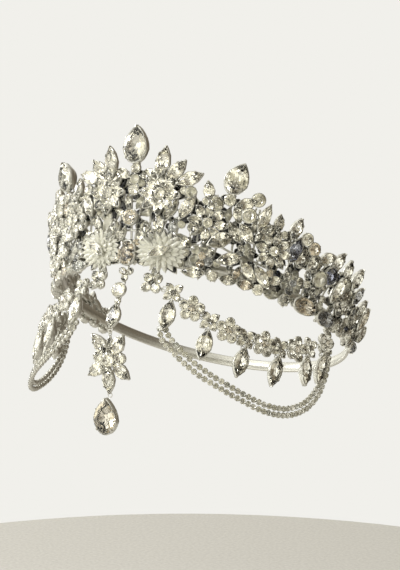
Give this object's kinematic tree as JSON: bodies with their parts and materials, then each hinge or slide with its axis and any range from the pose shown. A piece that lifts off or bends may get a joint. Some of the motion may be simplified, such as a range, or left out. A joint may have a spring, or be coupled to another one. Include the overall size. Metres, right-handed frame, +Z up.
{
  "type": "bridal crown",
  "caption": "Bridal crown with a raised paved front wall, peaked top, draped temple festoons with cup-chain strands, and a hinged forehead drop on a closed band.",
  "frame": {"origin": "centre of the ring that sits on the head, on its lower edge", "axes": "+Z up as worn, +X towards the wearer's left, the front faces -Y"},
  "size_m": [0.1776, 0.1746, 0.1484],
  "materials": {
    "paved_silver": "bright silver plate, paved with clear foiled stones in claw cups",
    "silver": "bright silver plate",
    "cup_chain": "bright silver plate round small clear stones",
    "paved_flower": "clear foiled stones in bright silver-plated cups",
    "clear_stone": "cut crystal glass with a silver foil back",
    "champagne_stone": "cut crystal glass, pale champagne, with a silver foil back"
  },
  "bodies": {
    "crown": {"border_oval_front_left": "champagne_stone", "border_oval_front_right": "champagne_stone", "border_oval_rear_left": "clear_stone", "border_oval_rear_right": "clear_stone", "centre_oval_stone": "champagne_stone", "centre_pear_stone": "clear_stone", "crown_frame": "paved_silver", "cup_chain_lower_left": "cup_chain", "cup_chain_lower_right": "cup_chain", "cup_chain_upper_left": "cup_chain", "cup_chain_upper_right": "cup_chain", "drop_link": "clear_stone", "drop_top_stone": "clear_stone", "festoon_flower_1_left": "paved_flower", "festoon_flower_1_right": "paved_flower", "festoon_flower_2_left": "paved_flower", "festoon_flower_2_right": "paved_flower", "festoon_flower_3_left": "paved_flower", "festoon_flower_3_right": "paved_flower", "festoon_flower_4_left": "paved_flower", "festoon_flower_4_right": "paved_flower", "festoon_flower_5_left": "paved_flower", "festoon_flower_5_right": "paved_flower", "festoon_link_1_left": "paved_flower", "festoon_link_1_right": "paved_flower", "festoon_link_2_left": "paved_flower", "festoon_link_2_right": "paved_flower", "festoon_link_3_left": "paved_flower", "festoon_link_3_right": "paved_flower", "festoon_link_4_left": "paved_flower", "festoon_link_4_right": "paved_flower", "festoon_link_5_left": "paved_flower", "festoon_link_5_right": "paved_flower", "festoon_navette_1_left": "clear_stone", "festoon_navette_1_right": "clear_stone", "festoon_navette_2_left": "clear_stone", "festoon_navette_2_right": "clear_stone", "festoon_navette_3_left": "clear_stone", "festoon_navette_3_right": "clear_stone", "festoon_navette_4_left": "clear_stone", "festoon_navette_4_right": "clear_stone", "festoon_navette_5_left": "clear_stone", "festoon_navette_5_right": "clear_stone", "festoon_navette_6_left": "clear_stone", "festoon_navette_6_right": "clear_stone", "rosette_left": "paved_flower", "rosette_right": "paved_flower", "side_flower_left": "paved_flower", "side_flower_right": "paved_flower", "side_pear_stone_left": "clear_stone", "side_pear_stone_right": "clear_stone", "temple_flower_left": "paved_flower", "temple_flower_right": "paved_flower", "upper_flower_left": "paved_flower", "upper_flower_right": "paved_flower"},
    "forehead_drop": {"drop_star": "paved_flower", "drop_pear_cup": "silver", "drop_pear_stone": "clear_stone"}
  },
  "joints": [
    {"name": "drop_swing", "type": "hinge", "parent": "crown", "child": "forehead_drop", "pos_m": [0, -0.09163, 0.00375], "axis": [1, 0, 0], "range_deg": [-90, 60]}
  ]
}
